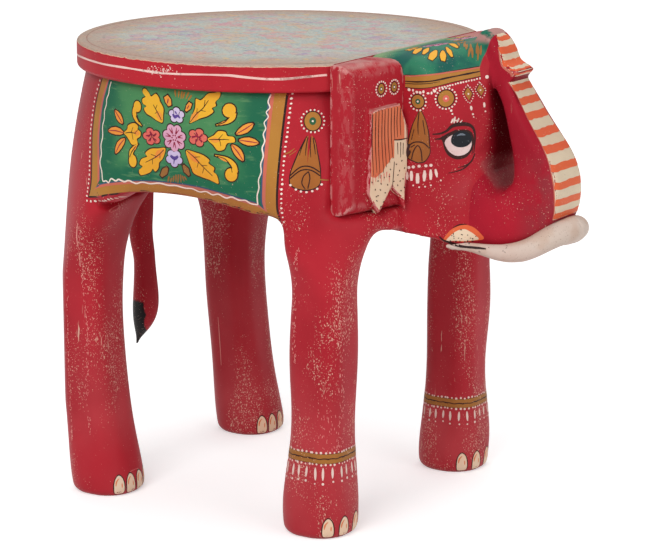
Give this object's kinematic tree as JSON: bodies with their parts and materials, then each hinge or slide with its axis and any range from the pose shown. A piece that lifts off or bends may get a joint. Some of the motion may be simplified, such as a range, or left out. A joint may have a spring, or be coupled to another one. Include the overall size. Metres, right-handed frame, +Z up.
{
  "type": "stool",
  "caption": "Round wooden stool carved and painted as a standing elephant, with a plank seat, four legs, a curled trunk, tusks, ears and a tail.",
  "frame": {"origin": "on the floor under the middle of the stool's bounding box, which is 65.25 mm in front of the upright axis of the round seat", "axes": "+Z up, +X the way the elephant walks, towards its trunk, so its right-hand side is at -Y"},
  "size_m": [0.5117, 0.381, 0.4529],
  "materials": {
    "red_paint": "satin",
    "green_paint": "satin",
    "seat_paint": "satin",
    "ivory_paint": "satin",
    "bare_wood": "matte"
  },
  "bodies": {
    "root": {"chest_board": "red_paint", "chest_dowel_lower_left": "bare_wood", "chest_dowel_lower_right": "bare_wood", "chest_dowel_upper_left": "bare_wood", "chest_dowel_upper_right": "bare_wood", "ear_dowel_left": "bare_wood", "ear_dowel_right": "bare_wood", "ear_left": "red_paint", "ear_right": "red_paint", "head_block": "red_paint", "head_dowel_left": "bare_wood", "head_dowel_right": "bare_wood", "leg_front_left": "red_paint", "leg_front_right": "red_paint", "leg_rear_left": "red_paint", "leg_rear_right": "red_paint", "rump_board": "red_paint", "rump_dowel_lower_left": "bare_wood", "rump_dowel_lower_right": "bare_wood", "rump_dowel_upper_left": "bare_wood", "rump_dowel_upper_right": "bare_wood", "seat_board": "seat_paint", "seat_dowel_front_left": "bare_wood", "seat_dowel_front_right": "bare_wood", "seat_dowel_rear_left": "bare_wood", "seat_dowel_rear_right": "bare_wood", "side_board_left": "green_paint", "side_board_right": "green_paint", "side_dowel_front_lower_left": "bare_wood", "side_dowel_front_lower_right": "bare_wood", "side_dowel_front_upper_left": "bare_wood", "side_dowel_front_upper_right": "bare_wood", "side_dowel_rear_lower_left": "bare_wood", "side_dowel_rear_lower_right": "bare_wood", "side_dowel_rear_upper_left": "bare_wood", "side_dowel_rear_upper_right": "bare_wood", "tail": "red_paint", "trunk": "red_paint", "trunk_dowel": "bare_wood", "tusk_left": "ivory_paint", "tusk_right": "ivory_paint"}
  },
  "joints": []
}
